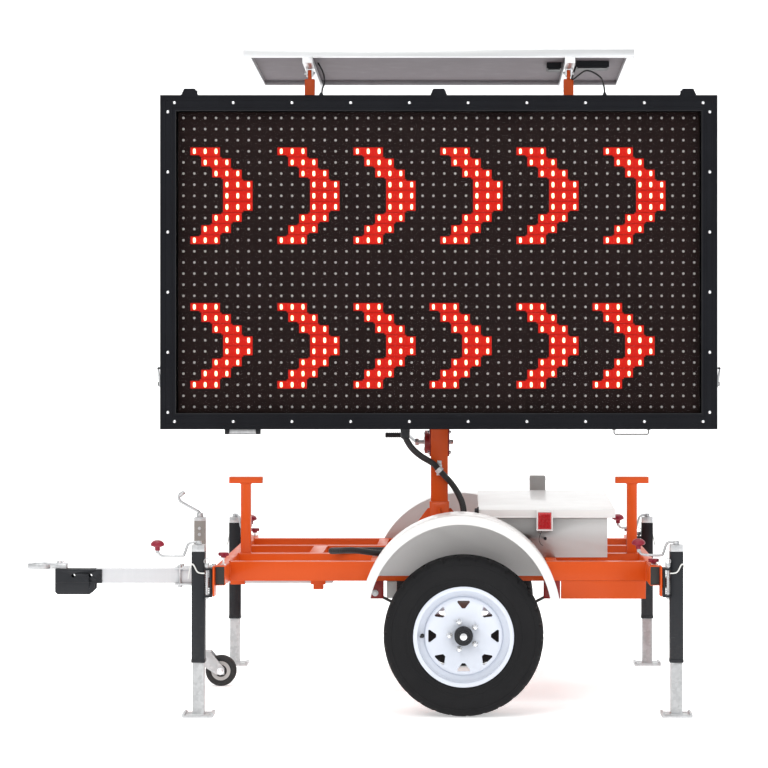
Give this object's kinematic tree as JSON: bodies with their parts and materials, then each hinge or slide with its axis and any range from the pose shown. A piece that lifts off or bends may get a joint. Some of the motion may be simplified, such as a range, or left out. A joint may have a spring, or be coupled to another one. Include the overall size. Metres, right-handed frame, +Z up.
{
  "type": "arrow board trailer",
  "caption": "Towed message and arrow board trailer with a lifting, turning mast, light-emitting sign cabinet, solar panel, battery box, corner jacks and jockey wheel.",
  "frame": {"origin": "on the ground under the middle of the overall length and width", "axes": "+X to the rear of the trailer, -Y the side the sign faces, +Z up"},
  "size_m": [2.846, 1.72, 2.613],
  "materials": {
    "frame_paint": "gloss orange enamel",
    "red_paint": "dark red enamel",
    "white_paint": "gloss white powder coat",
    "pale_paint": "pale grey enamel",
    "grey_paint": "warm grey enamel",
    "black_paint": "satin black powder coat",
    "cabinet_paint": "satin near-black powder coat",
    "dark_steel": "oiled dark steel",
    "galvanised": "zinc plated",
    "rim_paint": "silver-white wheel enamel",
    "tyre": "moulded road tyre",
    "wheel_rubber": "solid caster rubber",
    "battery_case": "moulded battery case",
    "grey_plastic": "moulded enclosure",
    "conduit_plastic": "corrugated conduit",
    "led_mask": "black display mask",
    "red_lens": "moulded red lens",
    "window": "clear tinted window",
    "aluminium": "clear anodised",
    "solar_cells": "glass laminate over dark blue cells"
  },
  "bodies": {
    "chassis": {"side_rails": "frame_paint", "inner_beams": "frame_paint", "end_beams": "frame_paint", "cross_members": "frame_paint", "sign_rests": "frame_paint", "mast_socket": "frame_paint", "fenders": "white_paint", "axle": "dark_steel", "leaf_springs": "dark_steel", "spring_hangers": "red_paint", "battery_box": "white_paint", "batteries": "battery_case", "modem_box": "grey_plastic", "drawbar": "pale_paint", "coupling": "black_paint", "tow_ring": "galvanised", "jockey_clamp": "galvanised", "jockey_tube": "grey_paint", "jack_mounts": "frame_paint", "conduit_lower": "conduit_plastic"},
    "box_lid": {"box_lid": "white_paint", "lamp_housing": "white_paint", "lamp_lens": "red_lens"},
    "wheel_near": {"tyre_near": "tyre", "rim_near": "rim_paint", "hub_near": "dark_steel"},
    "wheel_far": {"tyre_far": "tyre", "rim_far": "rim_paint", "hub_far": "dark_steel"},
    "jockey_leg": {"jockey_leg": "galvanised"},
    "jockey_crank": {"jockey_crank": "galvanised"},
    "jockey_fork": {"jockey_fork": "galvanised"},
    "jockey_wheel": {"jockey_wheel": "wheel_rubber"},
    "mast": {"mast_column": "frame_paint", "winch_frame": "red_paint"},
    "winch_drum": {"winch_drum": "galvanised"},
    "winch_crank": {"winch_crank": "black_paint"},
    "head": {"inner_mast": "galvanised", "sign_cabinet": "cabinet_paint", "led_panels": "led_mask", "panel_posts": "frame_paint", "conduit_upper": "conduit_plastic"},
    "door": {"door_frame": "cabinet_paint", "door_window": "window"},
    "latch_left": {"latch_left": "galvanised"},
    "latch_right": {"latch_right": "galvanised"},
    "solar": {"solar_frame": "aluminium", "solar_glass": "solar_cells"},
    "jack_front_near": {"jack_tube_front_near": "black_paint"},
    "jack_leg_front_near": {"jack_leg_front_near": "galvanised"},
    "jack_crank_front_near": {"jack_crank_front_near": "galvanised"},
    "jack_front_far": {"jack_tube_front_far": "black_paint"},
    "jack_leg_front_far": {"jack_leg_front_far": "galvanised"},
    "jack_crank_front_far": {"jack_crank_front_far": "galvanised"},
    "jack_rear_near": {"jack_tube_rear_near": "black_paint"},
    "jack_leg_rear_near": {"jack_leg_rear_near": "galvanised"},
    "jack_crank_rear_near": {"jack_crank_rear_near": "galvanised"},
    "jack_rear_far": {"jack_tube_rear_far": "black_paint"},
    "jack_leg_rear_far": {"jack_leg_rear_far": "galvanised"},
    "jack_crank_rear_far": {"jack_crank_rear_far": "galvanised"}
  },
  "joints": [
    {"name": "wheel_near_spin", "type": "hinge", "parent": "chassis", "child": "wheel_near", "pos_m": [0.381, -0.757, 0.3075], "axis": [0, 1, 0], "continuous": true},
    {"name": "wheel_far_spin", "type": "hinge", "parent": "chassis", "child": "wheel_far", "pos_m": [0.381, 0.757, 0.3075], "axis": [0, 1, 0], "continuous": true},
    {"name": "jack_swing_front_near", "type": "hinge", "parent": "chassis", "child": "jack_front_near", "pos_m": [-0.634, -0.78, 0.51], "axis": [1, 0, 0], "range_deg": [0, 90]},
    {"name": "jack_slide_front_near", "type": "slide", "parent": "jack_front_near", "child": "jack_leg_front_near", "axis": [0, 0, 1], "range_m": [-0.12, 0.15]},
    {"name": "jack_crank_turn_front_near", "type": "hinge", "parent": "jack_front_near", "child": "jack_crank_front_near", "pos_m": [-0.634, -0.78, 0.66], "axis": [0, 0, 1], "range_deg": [-4321, 5401]},
    {"name": "jack_swing_front_far", "type": "hinge", "parent": "chassis", "child": "jack_front_far", "pos_m": [-0.634, 0.78, 0.51], "axis": [-1, 0, 0], "range_deg": [0, 90]},
    {"name": "jack_slide_front_far", "type": "slide", "parent": "jack_front_far", "child": "jack_leg_front_far", "axis": [0, 0, 1], "range_m": [-0.12, 0.15]},
    {"name": "jack_crank_turn_front_far", "type": "hinge", "parent": "jack_front_far", "child": "jack_crank_front_far", "pos_m": [-0.634, 0.78, 0.66], "axis": [0, 0, 1], "range_deg": [-4321, 5401]},
    {"name": "jack_swing_rear_near", "type": "hinge", "parent": "chassis", "child": "jack_rear_near", "pos_m": [1.196, -0.78, 0.51], "axis": [1, 0, 0], "range_deg": [0, 90]},
    {"name": "jack_slide_rear_near", "type": "slide", "parent": "jack_rear_near", "child": "jack_leg_rear_near", "axis": [0, 0, 1], "range_m": [-0.12, 0.15]},
    {"name": "jack_crank_turn_rear_near", "type": "hinge", "parent": "jack_rear_near", "child": "jack_crank_rear_near", "pos_m": [1.196, -0.78, 0.66], "axis": [0, 0, 1], "range_deg": [-4321, 5401]},
    {"name": "jack_swing_rear_far", "type": "hinge", "parent": "chassis", "child": "jack_rear_far", "pos_m": [1.196, 0.78, 0.51], "axis": [-1, 0, 0], "range_deg": [0, 90]},
    {"name": "jack_slide_rear_far", "type": "slide", "parent": "jack_rear_far", "child": "jack_leg_rear_far", "axis": [0, 0, 1], "range_m": [-0.12, 0.15]},
    {"name": "jack_crank_turn_rear_far", "type": "hinge", "parent": "jack_rear_far", "child": "jack_crank_rear_far", "pos_m": [1.196, 0.78, 0.66], "axis": [0, 0, 1], "range_deg": [-4321, 5401]},
    {"name": "jockey_slide", "type": "slide", "parent": "chassis", "child": "jockey_leg", "axis": [0, 0, 1], "range_m": [-0.1, 0.15]},
    {"name": "jockey_crank_turn", "type": "hinge", "parent": "chassis", "child": "jockey_crank", "pos_m": [-0.717, 0.0735, 0.7], "axis": [0, 0, 1], "range_deg": [-3601, 5401]},
    {"name": "jockey_caster", "type": "hinge", "parent": "jockey_leg", "child": "jockey_fork", "pos_m": [-0.717, 0.0735, 0.15], "axis": [0, 0, 1], "continuous": true},
    {"name": "jockey_wheel_spin", "type": "hinge", "parent": "jockey_fork", "child": "jockey_wheel", "pos_m": [-0.629, 0.0735, 0.064], "axis": [0, 1, 0], "continuous": true},
    {"name": "mast_turn", "type": "hinge", "parent": "chassis", "child": "mast", "pos_m": [0.281, 0, 0.775], "axis": [0, 0, 1], "range_deg": [-90, 90], "deforming": ["conduit_lower"]},
    {"name": "mast_lift", "type": "slide", "parent": "mast", "child": "head", "axis": [0, 0, 1], "range_m": [-0.165, 0.5], "deforming": ["conduit_upper"]},
    {"name": "winch_drum_turn", "type": "hinge", "parent": "mast", "child": "winch_drum", "pos_m": [0.281, 0.078, 1.016], "axis": [1, 0, 0], "range_deg": [-357.4, 1081]},
    {"name": "winch_crank_turn", "type": "hinge", "parent": "mast", "child": "winch_crank", "pos_m": [0.281, 0.078, 1.016], "axis": [1, 0, 0], "range_deg": [-5401, 1783]},
    {"name": "door_hinge", "type": "hinge", "parent": "head", "child": "door", "pos_m": [0.281, -0.238, 2.442], "axis": [-1, 0, 0], "range_deg": [0, 80]},
    {"name": "latch_left_hinge", "type": "hinge", "parent": "head", "child": "latch_left", "pos_m": [-0.85, -0.21, 1.262], "axis": [0, -1, 0], "range_deg": [0, 60]},
    {"name": "latch_right_hinge", "type": "hinge", "parent": "head", "child": "latch_right", "pos_m": [1.412, -0.21, 1.262], "axis": [0, 1, 0], "range_deg": [0, 60]},
    {"name": "panel_tilt", "type": "hinge", "parent": "head", "child": "solar", "pos_m": [0.281, -0.1, 2.534], "axis": [1, 0, 0], "range_deg": [0, 28]},
    {"name": "box_lid_hinge", "type": "hinge", "parent": "chassis", "child": "box_lid", "pos_m": [0.6995, 0.416, 0.752], "axis": [-1, 0, 0], "range_deg": [0, 18]}
  ],
  "couplings": [
    {"joint": "jack_crank_turn_front_near", "follows": "jack_slide_front_near", "rad_per_m": 628.32},
    {"joint": "jack_crank_turn_front_far", "follows": "jack_slide_front_far", "rad_per_m": 628.32},
    {"joint": "jack_crank_turn_rear_near", "follows": "jack_slide_rear_near", "rad_per_m": 628.32},
    {"joint": "jack_crank_turn_rear_far", "follows": "jack_slide_rear_far", "rad_per_m": 628.32},
    {"joint": "jockey_crank_turn", "follows": "jockey_slide", "rad_per_m": 628.32},
    {"joint": "winch_drum_turn", "follows": "mast_lift", "rad_per_m": 37.699},
    {"joint": "winch_crank_turn", "follows": "mast_lift", "rad_per_m": -188.5}
  ]
}
